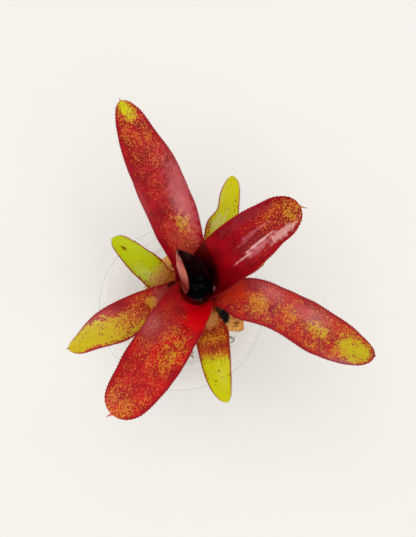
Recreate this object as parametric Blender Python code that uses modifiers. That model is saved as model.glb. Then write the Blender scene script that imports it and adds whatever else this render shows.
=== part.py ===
"""Bromeliad rosette growing through a cork stopper on a round glass vase.

Metres, +Z up. The origin is the middle of the vase's flat foot, and the
plant's axis is the vase's axis. Leaf sizes are written in millimetres.
"""

from math import atan2, cos, exp, hypot, pi, radians, sin, sqrt

import bmesh
import bpy
from mathutils import Vector
from mathutils.geometry import interpolate_bezier

MM = 0.001
CLEARANCE = 0.35 * MM

# Vase: a blown globe with a flat foot and a short collar
GLOBE_RADIUS = 79 * MM
GLOBE_CENTRE = 70 * MM
GLASS_WALL = 3 * MM
GLASS_FLOOR = 5 * MM
MOUTH_RADIUS = 38.2 * MM
COLLAR_TOP = 141 * MM
TURNED_STEPS = 40

# Cork stopper: a knife-cut head over a round plug, with a funnel hole
CORK_TOP = 150 * MM
PLUG_BOTTOM = 126 * MM
PLUG_RADIUS = MOUTH_RADIUS - CLEARANCE
CORK_EDGE = 0.8 * MM
# direction of each knife cut and its distance from the axis
CORK_CUTS = ((0, 46 * MM), (38, 45 * MM), (76, 43 * MM), (125, 41 * MM), (172, 40 * MM),
             (218, 41 * MM), (-90, 30 * MM))
# a cut counts in directions whose cosine to it is over this
FACING = 0.3
HOLE_TOP_RADIUS = 24.5 * MM
HOLE_TOP_OFFSET = 10.5 * MM
HOLE_TOP_HEADING = -32
HOLE_BOTTOM_RADIUS = 10.8 * MM
CORK_POINTS = 56

# Stem: a cone that the leaves grow from, and a shank through the cork
CROWN_TOP = 178 * MM
SHANK_BOTTOM = 112 * MM
SHANK_SEAT_RADIUS = HOLE_BOTTOM_RADIUS - CLEARANCE
ROOT_COLLAR_RADIUS = 12 * MM
ROOT_COLLAR_HEIGHT = 120 * MM

# Leaf bases step down and out around the crown, inner leaf to outer leaf
BASE_RADIUS = 4.0
BASE_RADIUS_STEP = 1.15
BASE_HEIGHT = 26.4
BASE_HEIGHT_STEP = -2.6
BASE_RISE = 35
THROAT_RADIUS = 11.0
THROAT_RADIUS_STEP = 1.75
# how far a sheath wraps each way round the funnel, in radians, at its base and its throat
BASE_WRAP = 0.9
THROAT_WRAP = 2.3
# curve handles: shares of the sheath's height, then of the blade's chord
LOW_HANDLE = 0.35
HIGH_HANDLE = 0.3
LEAVE_HANDLE = 0.35
ARRIVE_HANDLE = 0.4
LEAF_THICKNESS = 0.9
ROW_PITCH = 4.5
COLUMNS = 6
TIP_HALF_WIDTH = 0.6
# how long a swell of the margin is, as a share of the blade
SWELL_LENGTH = 0.11
TOOTH_HEIGHT = 0.8
TOOTH_LEAN = 0.3
TOOTH_EVERY = 2

# Roots hang inside the vase from the swollen foot of the stem
ROOT_THICKNESS = 1.8 * MM
ROOT_POINTS = 15
ROOT_WAVE = 2.2 * MM
# heading, how far out each root reaches and the height of its end
ROOTS = ((-81, 49 * MM, 88 * MM), (-39, 56 * MM, 92 * MM), (8, 40 * MM, 58 * MM),
         (55, 47 * MM, 80 * MM), (100, 36 * MM, 44 * MM), (146, 48 * MM, 74 * MM),
         (192, 40 * MM, 52 * MM), (235, 50 * MM, 66 * MM))

# The water held in the middle of the rosette
TANK_LEVEL = 194 * MM
TANK_RADIUS = 8.9 * MM
TANK_BOTTOM = 179 * MM

# Each leaf, inner to outer. Millimetres and degrees: heading around the axis, the sheath's
# half width, height and rise of the midrib where the sheath opens into the blade, how far
# out and sideways the tip lies, its height and direction, the blade's half width, where it
# is widest, its neck's share of that width, how blunt it ends, its twist and the length of
# its end spine. A swell is a margin's side, place along the blade and size outwards.
LEAVES = (
    dict(name="leaf_young", heading=143, sheath=20, throat_radius=11.1, throat_height=53,
         throat_rise=70, reach=26.5, side=2.5, tip_height=119, tip_rise=60, tip_yaw=-53,
         half_width=17.5, widest=0.3, neck=1.0, bluntness=1.3, twist=56, spine=1.5, trough=1.5,
         opening=0.77),
    dict(name="leaf_back_right", heading=50.5, sheath=20, throat_height=52, throat_rise=78,
         reach=82, side=-21, tip_height=118, tip_rise=28, tip_yaw=-28, half_width=21.5,
         widest=0.2, neck=1.0, bluntness=3.9, twist=-1, spine=5.5,
         swells=((1, 0.7, -0.6), (1, 0.92, 1.5), (-1, 0.15, -1.0), (-1, 0.45, 1.3),
                 (-1, 0.75, -1.5))),
    dict(name="leaf_front", heading=239, sheath=20, throat_height=46, throat_rise=66,
         reach=120.5, side=-8, tip_height=78, tip_rise=-12, tip_yaw=-11, half_width=21.75,
         widest=0.5, neck=0.95, bluntness=3.1, twist=-1, spine=5,
         swells=((1, 0.15, -1.0), (1, 0.35, -1.0), (1, 0.92, 1.5), (-1, 0.78, -1.5))),
    dict(name="leaf_back_left", heading=110.5, sheath=19, throat_height=42, throat_rise=68,
         reach=151.5, side=12, tip_height=92, tip_rise=-4, tip_yaw=3, half_width=19, widest=0.4,
         neck=0.7, bluntness=2.0, twist=-2, spine=3,
         swells=((1, 0.3, 1.2), (1, 0.52, 1.2), (1, 0.72, 1.1), (-1, 0.25, -0.8),
                 (-1, 0.65, 1.4), (-1, 0.78, -0.8), (-1, 0.92, 1.0))),
    dict(name="leaf_right", heading=355.5, sheath=16, throat_height=37, throat_rise=62,
         reach=145.5, side=-44.5, tip_height=58, tip_rise=-28, tip_yaw=-7, half_width=17.25,
         widest=0.3, neck=0.65, bluntness=3.3, twist=-7, spine=2,
         swells=((1, 0.15, -1.5), (1, 0.54, 1.2), (1, 0.92, -2.0), (-1, 0.17, 4.4),
                 (-1, 0.44, -0.8), (-1, 0.6, 2.5), (-1, 0.75, 2.0), (-1, 0.92, 1.0))),
    dict(name="leaf_left", heading=198.5, sheath=15, throat_height=30, throat_rise=50,
         reach=112.5, side=12.5, tip_height=34, tip_rise=-22, tip_yaw=6, half_width=15.25,
         widest=0.55, neck=0.8, bluntness=1.4, twist=5, spine=2,
         swells=((1, 0.52, 1.5), (1, 0.68, 0.6), (1, 0.75, -1.0), (1, 0.92, 1.0),
                 (-1, 0.8, -0.7), (-1, 0.92, -2.5))),
    dict(name="leaf_back_small", heading=71, sheath=11, throat_height=24, throat_rise=48,
         reach=101, side=2, tip_height=40, tip_rise=-6, tip_yaw=19, half_width=11, widest=0.45,
         neck=0.6, bluntness=1.4, twist=-1, spine=1.5,
         swells=((1, 0.15, -1.0), (1, 0.46, 2.6), (1, 0.6, -1.8), (1, 0.78, 1.8),
                 (1, 0.92, 1.0), (-1, 0.75, -0.6), (-1, 0.93, 0.8))),
    dict(name="leaf_front_small", heading=293, sheath=12, throat_height=18, throat_rise=40,
         reach=94.5, side=-9.5, tip_height=14, tip_rise=-28, tip_yaw=11, half_width=13.75,
         widest=0.25, neck=0.8, bluntness=1.6, twist=0, spine=1.5, swells=((1, 0.22, 1.2),)),
    dict(name="leaf_left_small", heading=158, sheath=13, throat_height=13, throat_rise=38,
         reach=80, side=-14.5, tip_height=26, tip_rise=-12, tip_yaw=-11, half_width=13.5,
         widest=0.3, neck=0.85, bluntness=1.5, twist=-3, spine=1.5,
         swells=((1, 0.33, -0.7), (-1, 0.55, -1.0), (-1, 0.92, 1.5))),
    dict(name="leaf_right_small", heading=25.5, sheath=8, throat_height=9, throat_rise=35,
         reach=68, side=-1.5, tip_height=18, tip_rise=-10, tip_yaw=-2, half_width=6.25,
         widest=0.45, neck=0.75, bluntness=1.3, twist=0, spine=1),
    dict(name="leaf_dry", heading=327, sheath=8, base_radius=13.8, base_height=1.0,
         throat_radius=19, throat_height=4, throat_rise=24, reach=29, side=1, tip_height=4,
         tip_rise=-20, tip_yaw=5, half_width=5, widest=0.2, neck=0.9, bluntness=2.0, twist=12,
         spine=1, trough=1.1),
)
LEAF_COLOURS = {
    "leaf_young": (0.13, 0.015, 0.02), "leaf_back_right": (0.40, 0.01, 0.02),
    "leaf_front": (0.50, 0.03, 0.02), "leaf_back_left": (0.45, 0.03, 0.025),
    "leaf_right": (0.52, 0.07, 0.02), "leaf_left": (0.50, 0.22, 0.03),
    "leaf_back_small": (0.50, 0.45, 0.05), "leaf_front_small": (0.48, 0.33, 0.02),
    "leaf_left_small": (0.48, 0.42, 0.04), "leaf_right_small": (0.45, 0.40, 0.05),
    "leaf_dry": (0.22, 0.11, 0.05),
}


def make_material(name, colour, roughness, metallic=0.0, transmission=0.0):
    material = bpy.data.materials.new(name)
    material.use_nodes = True
    shader = material.node_tree.nodes["Principled BSDF"]
    shader.inputs["Base Color"].default_value = (*colour, 1.0)
    shader.inputs["Roughness"].default_value = roughness
    shader.inputs["Metallic"].default_value = metallic
    shader.inputs["Transmission Weight"].default_value = transmission
    material.diffuse_color = (*colour, 1.0)
    return material


def make_object(name, bm, collection, material):
    """Turn an edited mesh into a named, smooth-shaded object."""
    mesh = bpy.data.meshes.new(name)
    bm.to_mesh(mesh)
    bm.free()
    mesh.materials.append(material)
    mesh.shade_smooth()
    mesh.set_sharp_from_angle(angle=radians(40))
    thing = bpy.data.objects.new(name, mesh)
    collection.objects.link(thing)
    return thing


def turned(name, profile, collection, material, steps=TURNED_STEPS):
    """Spin a profile of (radius, height) points, running down its outer side."""
    bm = bmesh.new()
    points = [bm.verts.new((radius, 0.0, height)) for radius, height in profile]
    for start, end in zip(points, points[1:]):
        bm.edges.new((start, end))
    thing = make_object(name, bm, collection, material)
    screw = thing.modifiers.new("Turn", "SCREW")
    screw.axis = "Z"
    screw.steps = steps
    screw.render_steps = steps
    screw.use_merge_vertices = True
    screw.merge_threshold = 0.00005
    return thing


def smooth_step(amount):
    amount = min(max(amount, 0.0), 1.0)
    return amount * amount * (3 - 2 * amount)


def globe_arc(radius, start_height, end_height, segments):
    """Points on the globe's circle between two heights, evenly spaced by angle."""
    start = atan2(start_height - GLOBE_CENTRE, sqrt(radius**2 - (start_height - GLOBE_CENTRE) ** 2))
    end = atan2(end_height - GLOBE_CENTRE, sqrt(radius**2 - (end_height - GLOBE_CENTRE) ** 2))
    angles = [start + (end - start) * i / segments for i in range(segments + 1)]
    return [(radius * cos(a), GLOBE_CENTRE + radius * sin(a)) for a in angles]


def vase_profile():
    inner_radius = GLOBE_RADIUS - GLASS_WALL
    collar_radius = MOUTH_RADIUS + GLASS_WALL
    inner_top = GLOBE_CENTRE + sqrt(inner_radius**2 - MOUTH_RADIUS**2)
    outer_top = GLOBE_CENTRE + sqrt(GLOBE_RADIUS**2 - collar_radius**2)
    inside = [(0.0, GLASS_FLOOR)] + globe_arc(inner_radius, GLASS_FLOOR, inner_top, 11)
    lip_radius = GLASS_WALL / 2
    lip_middle = MOUTH_RADIUS + lip_radius
    lip_angles = [pi * i / 4 for i in range(5)]
    lip = [(lip_middle - lip_radius * cos(a), COLLAR_TOP - lip_radius + lip_radius * sin(a))
           for a in lip_angles]
    outside = globe_arc(GLOBE_RADIUS, outer_top, 0.0, 12) + [(0.0, 0.0)]
    return inside + lip + outside


def cork_outline(heading):
    """Distance from the axis to the nearest knife cut in one direction."""
    return min(distance / cos(radians(heading - cut)) for cut, distance in CORK_CUTS
               if cos(radians(heading - cut)) > FACING)


def cork_ring(bm, height, radius_at, centre=(0.0, 0.0)):
    """One closed loop of edges whose distance from its centre follows radius_at."""
    ring = bmesh.ops.create_circle(bm, segments=CORK_POINTS, radius=1.0)["verts"]
    for vert in ring:
        heading = atan2(vert.co.y, vert.co.x)
        radius = radius_at(heading)
        vert.co = (centre[0] + radius * cos(heading), centre[1] + radius * sin(heading), height)
    return list({edge for vert in ring for edge in vert.link_edges})


def build_cork(collection, material):
    bm = bmesh.new()
    head_bottom = COLLAR_TOP + CLEARANCE
    hole_heading = radians(HOLE_TOP_HEADING)
    hole_centre = (HOLE_TOP_OFFSET * cos(hole_heading), HOLE_TOP_OFFSET * sin(hole_heading))

    def head(inset):
        return lambda heading: cork_outline(heading * 180 / pi) - inset

    def plug(heading):
        return PLUG_RADIUS

    rings = [
        cork_ring(bm, CORK_TOP, head(CORK_EDGE)),
        cork_ring(bm, CORK_TOP - CORK_EDGE, head(0.0)),
        cork_ring(bm, head_bottom, head(0.0)),
        cork_ring(bm, head_bottom, plug),
        cork_ring(bm, PLUG_BOTTOM + CORK_EDGE, plug),
        cork_ring(bm, PLUG_BOTTOM, lambda heading: PLUG_RADIUS - CORK_EDGE),
        cork_ring(bm, PLUG_BOTTOM, lambda heading: HOLE_BOTTOM_RADIUS),
        cork_ring(bm, PLUG_BOTTOM + 4 * MM, lambda heading: HOLE_BOTTOM_RADIUS),
        cork_ring(bm, CORK_TOP, lambda heading: HOLE_TOP_RADIUS, hole_centre),
    ]
    for ring, following in zip(rings, rings[1:] + rings[:1]):
        bmesh.ops.bridge_loops(bm, edges=ring + following)
    bmesh.ops.triangulate(bm, faces=bm.faces)
    bmesh.ops.recalc_face_normals(bm, faces=bm.faces)
    return make_object("cork", bm, collection, material)


def stem_profile():
    """Crown cone just inside the leaf bases, then the shank down through the cork."""
    crown_foot = (BASE_RADIUS + 9 * BASE_RADIUS_STEP) * MM - CLEARANCE
    crown_foot_height = CORK_TOP + (BASE_HEIGHT + 9 * BASE_HEIGHT_STEP) * MM
    crown_top_height = CORK_TOP + BASE_HEIGHT * MM
    crown_top = BASE_RADIUS * MM - CLEARANCE
    return [
        (0.0, CROWN_TOP),
        (crown_top * 0.6, CROWN_TOP - 0.4 * MM),
        (crown_top, crown_top_height),
        (crown_foot, crown_foot_height),
        (crown_foot - 1 * MM, CORK_TOP),
        (SHANK_SEAT_RADIUS + 0.6 * MM, PLUG_BOTTOM + 8 * MM),
        (SHANK_SEAT_RADIUS, PLUG_BOTTOM + 3.5 * MM),
        (SHANK_SEAT_RADIUS, PLUG_BOTTOM - 1 * MM),
        (ROOT_COLLAR_RADIUS, ROOT_COLLAR_HEIGHT),
        (ROOT_COLLAR_RADIUS * 0.8, SHANK_BOTTOM + 2.5 * MM),
        (ROOT_COLLAR_RADIUS * 0.4, SHANK_BOTTOM + 0.4 * MM),
        (0.0, SHANK_BOTTOM),
    ]


def tank_profile():
    return [
        (0.0, TANK_LEVEL),
        (TANK_RADIUS, TANK_LEVEL),
        (TANK_RADIUS - 0.5 * MM, TANK_LEVEL - 6 * MM),
        (TANK_RADIUS - 1.8 * MM, TANK_LEVEL - 11.5 * MM),
        (2.5 * MM, TANK_BOTTOM),
        (0.0, TANK_BOTTOM),
    ]


def leaf_place(heading, out, side, height):
    """A point given outwards and sideways from the axis and above the cork, in millimetres."""
    turn = radians(heading)
    return Vector((out * cos(turn) - side * sin(turn),
                   out * sin(turn) + side * cos(turn),
                   CORK_TOP / MM + height)) * MM


def evenly_spaced(points, pitch):
    """Points along a line, respaced to a whole number of equal steps."""
    lengths = [0.0]
    for start, end in zip(points, points[1:]):
        lengths.append(lengths[-1] + (end - start).length)
    steps = max(4, round(lengths[-1] / pitch))
    spaced = []
    segment = 0
    for i in range(steps + 1):
        wanted = lengths[-1] * i / steps
        while segment < len(points) - 2 and lengths[segment + 1] < wanted:
            segment += 1
        span = lengths[segment + 1] - lengths[segment]
        share = (wanted - lengths[segment]) / span
        spaced.append(points[segment].lerp(points[segment + 1], share))
    return spaced, lengths[-1]


def midrib(leaf, rank):
    """Centre lines of the sheath and of the blade, from the crown to the tip."""
    heading = leaf["heading"]
    base_radius = leaf.get("base_radius", BASE_RADIUS + BASE_RADIUS_STEP * rank)
    base_height = leaf.get("base_height", BASE_HEIGHT + BASE_HEIGHT_STEP * rank)
    throat_radius = leaf.get("throat_radius", THROAT_RADIUS + THROAT_RADIUS_STEP * rank)
    throat_height = leaf["throat_height"]
    base_rise = radians(BASE_RISE)
    throat_rise = radians(leaf["throat_rise"])
    tip_rise = radians(leaf["tip_rise"])
    tip_yaw = radians(leaf["tip_yaw"])
    sheath_height = throat_height - base_height
    low = LOW_HANDLE * sheath_height
    high = HIGH_HANDLE * sheath_height
    chord = hypot(leaf["reach"] - throat_radius, leaf["tip_height"] - throat_height)
    leave = LEAVE_HANDLE * chord
    arrive = ARRIVE_HANDLE * chord
    base = leaf_place(heading, base_radius, 0, base_height)
    base_handle = leaf_place(heading, base_radius + low * cos(base_rise), 0,
                             base_height + low * sin(base_rise))
    throat_handle = leaf_place(heading, throat_radius - high * cos(throat_rise), 0,
                               throat_height - high * sin(throat_rise))
    throat = leaf_place(heading, throat_radius, 0, throat_height)
    blade_handle = leaf_place(heading, throat_radius + leave * cos(throat_rise), 0,
                              throat_height + leave * sin(throat_rise))
    tip_handle = leaf_place(heading,
                            leaf["reach"] - arrive * cos(tip_rise) * cos(tip_yaw),
                            leaf["side"] - arrive * cos(tip_rise) * sin(tip_yaw),
                            leaf["tip_height"] - arrive * sin(tip_rise))
    tip = leaf_place(heading, leaf["reach"], leaf["side"], leaf["tip_height"])
    sheath = interpolate_bezier(base, base_handle, throat_handle, throat, 24)
    blade = interpolate_bezier(throat, blade_handle, tip_handle, tip, 60)
    return sheath, blade


def blade_half_width(leaf, along):
    """Half width at a share of the blade's length: neck, widest part, rounded end."""
    widest = leaf["widest"]
    if along < widest:
        share = leaf["neck"] + (1 - leaf["neck"]) * smooth_step(along / widest)
    else:
        past = min((along - widest) / (1 - widest), 1.0)
        share = sqrt(max(1 - past ** leaf["bluntness"], 0.0))
    return leaf["half_width"] * share


def swell_at(leaf, along, across):
    """Outward shift of the margin, in millimetres, faded to nothing at the midrib."""
    shift = 0.0
    for side, place, size in leaf.get("swells", ()):
        if side * across > 0:
            shift += size * exp(-(((along - place) / SWELL_LENGTH) ** 2)) * abs(across)
    return shift


def leaf_rows(leaf, rank):
    """Rows of points over the leaf's upper face, and each row's share along the blade."""
    sheath, blade = midrib(leaf, rank)
    sheath, sheath_length = evenly_spaced(sheath, ROW_PITCH * MM)
    blade, blade_length = evenly_spaced(blade, ROW_PITCH * MM)
    sheath_length /= MM
    blade_length /= MM
    line = sheath + blade[1:]
    opening = leaf.get("opening", 0.4)
    trough = leaf.get("trough", 0.45)
    turn = radians(leaf["heading"])
    across = Vector((-sin(turn), cos(turn), 0.0))
    travelled = 0.0
    rows = []
    shares = []
    for i, point in enumerate(line):
        if i:
            travelled += (point - line[i - 1]).length / MM
        direction = (line[min(i + 1, len(line) - 1)] - line[max(i - 1, 0)]).normalized()
        across = (across - direction * across.dot(direction)).normalized()
        up = direction.cross(across)
        along = min(max((travelled - sheath_length) / blade_length, 0.0), 1.0)
        axis_distance = hypot(point.x, point.y) / MM
        funnel = axis_distance / max(direction.z, 0.3)
        flatten = smooth_step((travelled - 0.85 * sheath_length)
                              / (opening * blade_length + 0.15 * sheath_length))
        narrow = smooth_step((travelled - 0.45 * sheath_length)
                             / (0.12 * blade_length + 0.55 * sheath_length))
        curvature = (1 - flatten) / funnel + flatten * trough / leaf["half_width"]
        climb = min(travelled / sheath_length, 1.0)
        wrap = BASE_WRAP + (THROAT_WRAP - BASE_WRAP) * climb * climb
        sheath_half = min(leaf["sheath"], wrap * funnel)
        half = sheath_half * (1 - narrow) + blade_half_width(leaf, along) * narrow
        half = max(half, TIP_HALF_WIDTH)
        twist = radians(leaf["twist"]) * smooth_step(along)
        lateral = across * cos(twist) + up * sin(twist)
        inward = up * cos(twist) - across * sin(twist)
        row = []
        for column in range(COLUMNS + 1):
            share = 2 * column / COLUMNS - 1
            swell = swell_at(leaf, along, share) if along > 0 else 0.0
            side = 1 if share > 0 else -1
            angle = (share * half + side * swell) * curvature
            row.append(point + lateral * (sin(angle) / curvature * MM)
                       + inward * ((1 - cos(angle)) / curvature * MM))
        rows.append(row)
        shares.append(along)
    spine_direction = (direction - up * 0.35).normalized()
    for step, half in ((0.5, 0.55), (1.0, 0.3)):
        middle = line[-1] + spine_direction * (leaf["spine"] * step * MM)
        rows.append([middle + lateral * ((2 * c / COLUMNS - 1) * half * MM)
                     for c in range(COLUMNS + 1)])
        shares.append(1.0)
    return rows, shares


def cut_teeth(bm, margin_edges):
    """Split margin edges and pull a point of each out into a small forward tooth."""
    for edge, inner in margin_edges:
        start, end = edge.verts
        if (end.co - inner.co).length < (start.co - inner.co).length:
            start, end = end, start
        outward = (start.co - inner.co).normalized()
        forward = (end.co - start.co).normalized()
        peak = bmesh.utils.edge_split(edge, start, 0.45)[1]
        peak.co += (outward + forward * TOOTH_LEAN) * TOOTH_HEIGHT * MM


def build_leaf(leaf, rank, collection, material):
    rows, shares = leaf_rows(leaf, rank)
    bm = bmesh.new()
    grid = bmesh.ops.create_grid(bm, x_segments=len(rows) - 1, y_segments=COLUMNS, size=1.0)
    table = {}
    for vert in grid["verts"]:
        i = round((vert.co.x + 1) / 2 * (len(rows) - 1))
        j = round((vert.co.y + 1) / 2 * COLUMNS)
        table[i, j] = vert
    for (i, j), vert in table.items():
        vert.co = rows[i][j]
    margin_edges = []
    for i in range(len(rows) - 4):
        if shares[i] > 0.05 and i % TOOTH_EVERY == 0:
            for j, inner in ((0, 1), (COLUMNS, COLUMNS - 1)):
                edge = bm.edges.get((table[i, j], table[i + 1, j]))
                margin_edges.append((edge, table[i, inner]))
    cut_teeth(bm, margin_edges)
    bmesh.ops.triangulate(bm, faces=bm.faces)
    thing = make_object(leaf["name"], bm, collection, material)
    shell = thing.modifiers.new("Thickness", "SOLIDIFY")
    shell.thickness = LEAF_THICKNESS * MM
    shell.offset = -1.0
    return thing


def root_path(index, heading, reach, end_height):
    """A wiry root: out from the stem's foot, over the shoulder of the vase and down."""
    turn = radians(heading)
    outward = Vector((cos(turn), sin(turn), 0.0))
    aside = Vector((-sin(turn), cos(turn), 0.0))
    start_height = ROOT_COLLAR_HEIGHT
    start = ROOT_COLLAR_RADIUS + CLEARANCE + 0.1 * MM
    points = [
        outward * start + Vector((0, 0, start_height)),
        outward * (start + 0.5 * (reach - start)) + Vector((0, 0, start_height + 1 * MM)),
        outward * (reach + 4 * MM) + Vector((0, 0, start_height - 6 * MM)),
        outward * reach + Vector((0, 0, end_height)),
    ]
    curve = interpolate_bezier(*points, ROOT_POINTS)
    for i, point in enumerate(curve):
        share = i / (ROOT_POINTS - 1)
        point += aside * ROOT_WAVE * smooth_step(share * 2) * sin(7 * share + 2.1 * index)
    return curve


def build_root(index, heading, reach, end_height, collection, material):
    """The root's curve, made a mesh so that its end caps can be welded on."""
    path = root_path(index, heading, reach, end_height)
    curve = bpy.data.curves.new(f"root_path_{index}", "CURVE")
    curve.dimensions = "3D"
    curve.bevel_depth = ROOT_THICKNESS / 2
    curve.bevel_resolution = 1
    curve.use_fill_caps = True
    spline = curve.splines.new("POLY")
    spline.points.add(len(path) - 1)
    for i, (slot, point) in enumerate(zip(spline.points, path)):
        slot.co = (*point, 1.0)
        slot.radius = 1.0 - 0.45 * i / (len(path) - 1)
    guide = bpy.data.objects.new(f"root_path_{index}", curve)
    collection.objects.link(guide)
    bpy.context.view_layer.update()
    depsgraph = bpy.context.evaluated_depsgraph_get()
    mesh = bpy.data.meshes.new_from_object(guide.evaluated_get(depsgraph))
    bpy.data.objects.remove(guide)
    bm = bmesh.new()
    bm.from_mesh(mesh)
    bpy.data.meshes.remove(mesh)
    bmesh.ops.remove_doubles(bm, verts=bm.verts, dist=0.00001)
    bmesh.ops.recalc_face_normals(bm, faces=bm.faces)
    return make_object(f"root_{index + 1}", bm, collection, material)


for old in list(bpy.data.objects):
    bpy.data.objects.remove(old)
plant = bpy.data.collections.new("bromeliad")
bpy.context.scene.collection.children.link(plant)

glass = make_material("clear glass", (0.92, 0.95, 0.94), 0.02, transmission=1.0)
cork_material = make_material("cork", (0.58, 0.27, 0.09), 0.85)
stem_material = make_material("woody stem", (0.16, 0.08, 0.035), 0.8)
root_material = make_material("root", (0.45, 0.32, 0.18), 0.75)
water_material = make_material("water", (0.02, 0.02, 0.025), 0.02)

turned("vase", vase_profile(), plant, glass)
build_cork(plant, cork_material)
turned("stem", stem_profile(), plant, stem_material, steps=20)
turned("tank_water", tank_profile(), plant, water_material, steps=20)
for leaf_rank, leaf_sizes in enumerate(LEAVES):
    leaf_material = make_material(leaf_sizes["name"], LEAF_COLOURS[leaf_sizes["name"]], 0.35)
    build_leaf(leaf_sizes, leaf_rank, plant, leaf_material)
for root_index, (root_heading, root_reach, root_end) in enumerate(ROOTS):
    build_root(root_index, root_heading, root_reach, root_end, plant, root_material)
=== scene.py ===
from math import atan2, cos, exp, hypot, pi, radians, sin, sqrt

import bmesh
import bpy
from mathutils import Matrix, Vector, noise
from mathutils.geometry import interpolate_bezier


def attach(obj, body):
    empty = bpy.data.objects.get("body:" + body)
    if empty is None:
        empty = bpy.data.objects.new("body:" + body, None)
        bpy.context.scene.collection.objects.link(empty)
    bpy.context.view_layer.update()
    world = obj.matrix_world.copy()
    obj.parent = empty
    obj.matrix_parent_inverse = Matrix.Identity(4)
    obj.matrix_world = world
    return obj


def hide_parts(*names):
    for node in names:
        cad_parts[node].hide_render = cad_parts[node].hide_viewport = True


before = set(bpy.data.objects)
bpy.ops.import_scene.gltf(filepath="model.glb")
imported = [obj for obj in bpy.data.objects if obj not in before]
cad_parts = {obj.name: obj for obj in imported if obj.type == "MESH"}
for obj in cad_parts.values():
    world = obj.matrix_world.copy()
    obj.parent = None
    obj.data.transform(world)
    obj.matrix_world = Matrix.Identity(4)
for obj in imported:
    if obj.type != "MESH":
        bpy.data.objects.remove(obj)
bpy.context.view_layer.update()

MM = 0.001


# Camera and room. The plant stands on a plain off-white table and is seen from almost
# straight above, leaning a little to the lower left. A broad ceiling and a window at the
# upper left light it, and the walls show only as reflections.
PHOTO_WIDTH = 416
PHOTO_HEIGHT = 537
FOCAL_PIXELS = 780
SENSOR = 36
LEAN = radians(13)
LEAN_TOWARD = (-0.61, -0.79)
DISTANCE = 620 * MM
AIM = Vector((0.0, 0.0, 205 * MM))
AIM_PIXEL = (199.2, 286.0)
ROOM_STRENGTH = 0.68
# name, where from, degrees across, strength, and whether it lights faces or is mirrored
LAMPS = (("ceiling", (-0.14, -0.18, 0.97), 50, 1.13, True),
         ("window", (-0.55, 0.35, 0.75), 36, 0.35, True),
         ("left_wall", (-0.68, -0.42, 0.6), 20, 0.3, False),
         ("near_wall", (-0.12, -0.6, 0.79), 24, 0.4, False),
         ("right_wall", (0.82, 0.25, 0.52), 24, 0.35, False))
# just under the vase's foot
TABLE_TOP = -0.0002
TABLE_HALF_WIDTH = 3.0

toward = Vector(LEAN_TOWARD).normalized()
forward = Vector((-toward.x * sin(LEAN), -toward.y * sin(LEAN), -cos(LEAN)))
turn = Vector((0, 0, -1)).rotation_difference(forward)
right = turn @ Vector((1, 0, 0))
up = turn @ Vector((0, 1, 0))
across = AIM_PIXEL[0] - PHOTO_WIDTH / 2
down = AIM_PIXEL[1] - PHOTO_HEIGHT / 2
eye = bpy.data.cameras.new("camera")
eye.lens = FOCAL_PIXELS / PHOTO_HEIGHT * SENSOR
eye.clip_start = 0.01
camera = bpy.data.objects.new("camera", eye)
camera.rotation_mode = "QUATERNION"
camera.rotation_quaternion = turn
camera.location = AIM - (forward + right * across / FOCAL_PIXELS - up * down / FOCAL_PIXELS) * DISTANCE
bpy.context.scene.collection.objects.link(camera)
bpy.context.scene.camera = camera
bpy.context.scene.view_settings.view_transform = "Standard"


def fill(made, sockets):
    """Fill or link a shader node's inputs by name or number."""
    for name, value in sockets.items():
        if isinstance(value, bpy.types.NodeSocket):
            made.id_data.links.new(value, made.inputs[name])
        else:
            made.inputs[name].default_value = value


def node(tree, kind, sockets=None, **settings):
    """Add a shader node, set it up and fill its inputs."""
    made = tree.nodes.new(kind)
    for name, value in settings.items():
        setattr(made, name, value)
    fill(made, sockets or {})
    return made


def shade(red, green, blue):
    """A colour as seen on a screen, 0 to 255, made linear."""
    return (*((channel / 255) ** 2.2 for channel in (red, green, blue)), 1.0)


def new_material(name):
    """A material with its Principled shader and nothing else."""
    material = bpy.data.materials.new(name)
    material.use_nodes = True
    return material, material.node_tree, material.node_tree.nodes["Principled BSDF"]


def in_metres(tree):
    """A point's place in the object's own frame, in metres."""
    return node(tree, "ShaderNodeTexCoord").outputs["Object"]


def noise_in(tree, where, scale, detail=2.0, stretch=None):
    """Cloudy noise from 0 to 1, with finer clouds in it the higher its detail. A stretch
    above 1 packs it closer along an axis, and one below 1 draws it out."""
    if stretch:
        where = node(tree, "ShaderNodeMapping", {"Vector": where, "Scale": stretch}).outputs[0]
    sockets = {"Vector": where, "Scale": scale, "Detail": detail}
    return node(tree, "ShaderNodeTexNoise", sockets).outputs["Fac"]


def mix(tree, amount, first, second):
    """Two colours blended by an amount from 0 to 1."""
    sockets = {0: amount, 6: first, 7: second}
    return node(tree, "ShaderNodeMix", sockets, data_type="RGBA").outputs[2]


def add_piece(bm, name):
    """Put a finished mesh into the scene as a smooth-shaded object."""
    mesh = bpy.data.meshes.new(name)
    bm.to_mesh(mesh)
    bm.free()
    mesh.shade_smooth()
    piece = bpy.data.objects.new(name, mesh)
    bpy.context.scene.collection.objects.link(piece)
    return piece, mesh


bm = bmesh.new()
bmesh.ops.create_grid(bm, x_segments=2, y_segments=2, size=TABLE_HALF_WIDTH)
bmesh.ops.translate(bm, verts=bm.verts, vec=(0, 0, TABLE_TOP))
table, mesh = add_piece(bm, "table")
table_paint, tree, shader = new_material("table_paint")
place = in_metres(tree)
colour = mix(tree, noise_in(tree, place, 3.0, 3.0), shade(238, 236, 231), shade(244, 242, 238))
fill(shader, {"Base Color": colour, "Roughness": 0.55})
mesh.materials.append(table_paint)

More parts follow.
